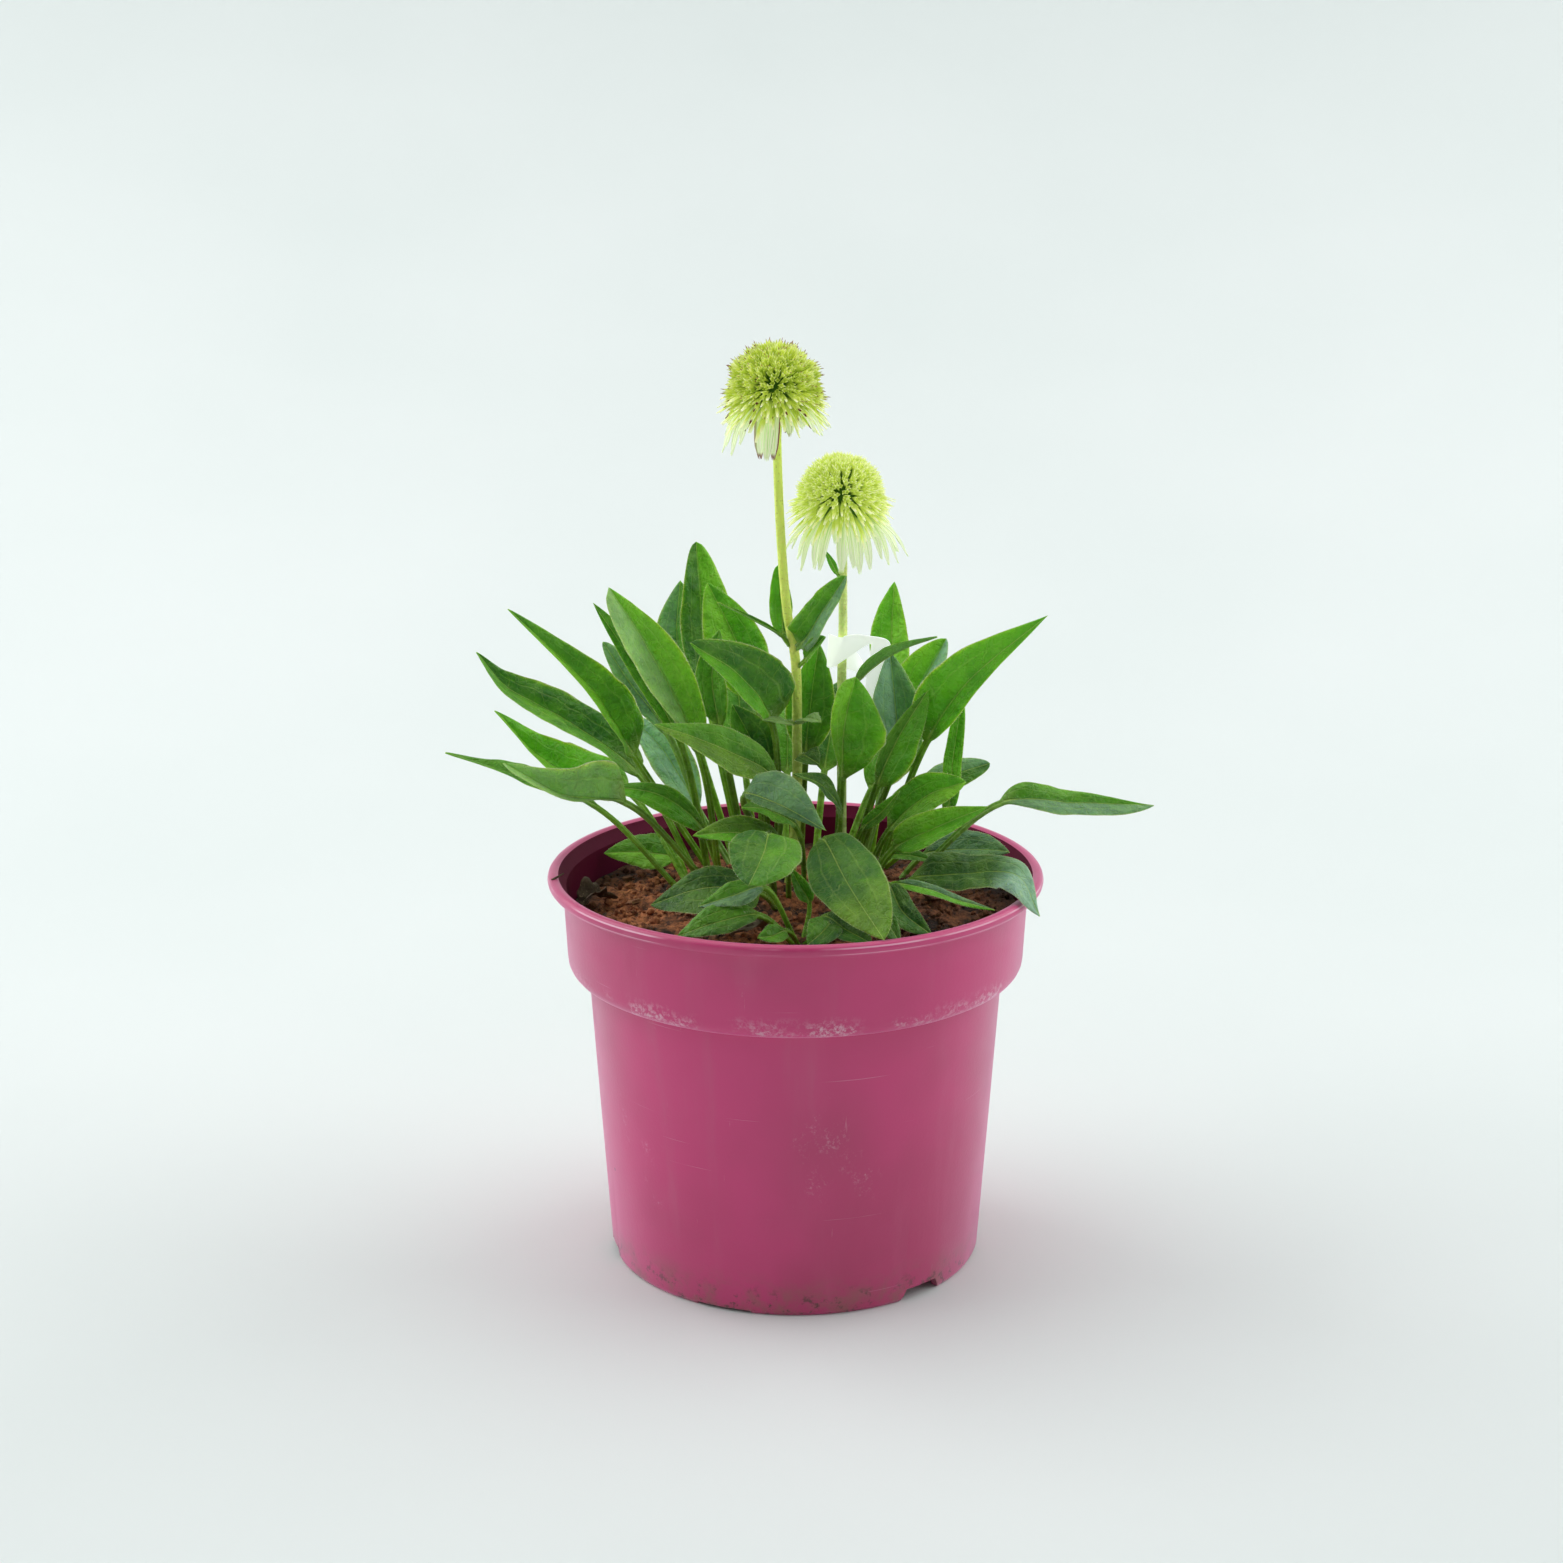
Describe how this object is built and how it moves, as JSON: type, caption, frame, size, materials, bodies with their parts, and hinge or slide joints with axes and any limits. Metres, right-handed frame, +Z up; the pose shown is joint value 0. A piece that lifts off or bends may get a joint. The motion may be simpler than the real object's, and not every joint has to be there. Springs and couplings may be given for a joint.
{
  "type": "potted purple coneflower",
  "caption": "Double-flowered coneflower with domed green-cream blooms over long pointed basal leaves, in a tapered magenta plastic nursery pot of soil.",
  "frame": {"origin": "on the table, under the middle of the pot", "axes": "+Z up; -Y is the front, the side with the leaf that droops over the pot's near edge; +X is to the right seen from the front"},
  "size_m": [0.2642, 0.19, 0.3549],
  "materials": {
    "pot": "magenta-pink moulded plastic, satin, scuffed, lime-stained under the collar",
    "soil": "loose brown coir and bark, rough and matte",
    "leaf": "living leaf, mid-green with pale veins, satin with fine short hairs",
    "stem": "pale yellow-green living stem, finely hairy",
    "floret": "yellow-green petal tissue with cream tips, soft and matte",
    "ray": "cream-white petals with greenish stripes, soft and matte",
    "label": "blank translucent white plastic strip",
    "dry_leaf": "dry dark brown curled leaf"
  },
  "bodies": {
    "root": {"leaf_left_1": "leaf", "leaf_left_2": "leaf", "leaf_left_3": "leaf", "leaf_left_4": "leaf", "leaf_left_5": "leaf", "leaf_left_6": "leaf", "leaf_left_7": "leaf", "leaf_left_8": "leaf", "leaf_left_9": "leaf", "leaf_left_10": "leaf", "leaf_left_11": "leaf", "leaf_back_1": "leaf", "leaf_back_2": "leaf", "leaf_back_3": "leaf", "leaf_back_4": "leaf", "leaf_back_5": "leaf", "leaf_back_6": "leaf", "leaf_back_7": "leaf", "leaf_middle_1": "leaf", "leaf_middle_2": "leaf", "leaf_middle_3": "leaf", "leaf_middle_4": "leaf", "leaf_middle_5": "leaf", "leaf_middle_6": "leaf", "leaf_right_1": "leaf", "leaf_right_2": "leaf", "leaf_right_3": "leaf", "leaf_right_4": "leaf", "leaf_right_5": "leaf", "leaf_right_6": "leaf", "leaf_right_7": "leaf", "leaf_right_8": "leaf", "leaf_right_9": "leaf", "leaf_right_10": "leaf", "leaf_right_11": "leaf", "leaf_right_12": "leaf", "leaf_right_13": "leaf", "leaf_right_14": "leaf", "leaf_right_16": "leaf", "leaf_front_3": "leaf", "leaf_front_4": "leaf", "leaf_front_5": "leaf", "leaf_front_6": "leaf", "leaf_front_7": "leaf", "leaf_front_8": "leaf", "shoot_front": "leaf", "shoot_right": "leaf", "stem_1": "stem", "stem_2": "stem", "bloom_1_disc": "floret", "bloom_1_rays": "ray", "bloom_2_disc": "floret", "bloom_2_rays": "ray", "dead_leaf_1": "dry_leaf", "dead_leaf_2": "dry_leaf", "label": "label", "soil": "soil", "pot": "pot"}
  },
  "joints": []
}
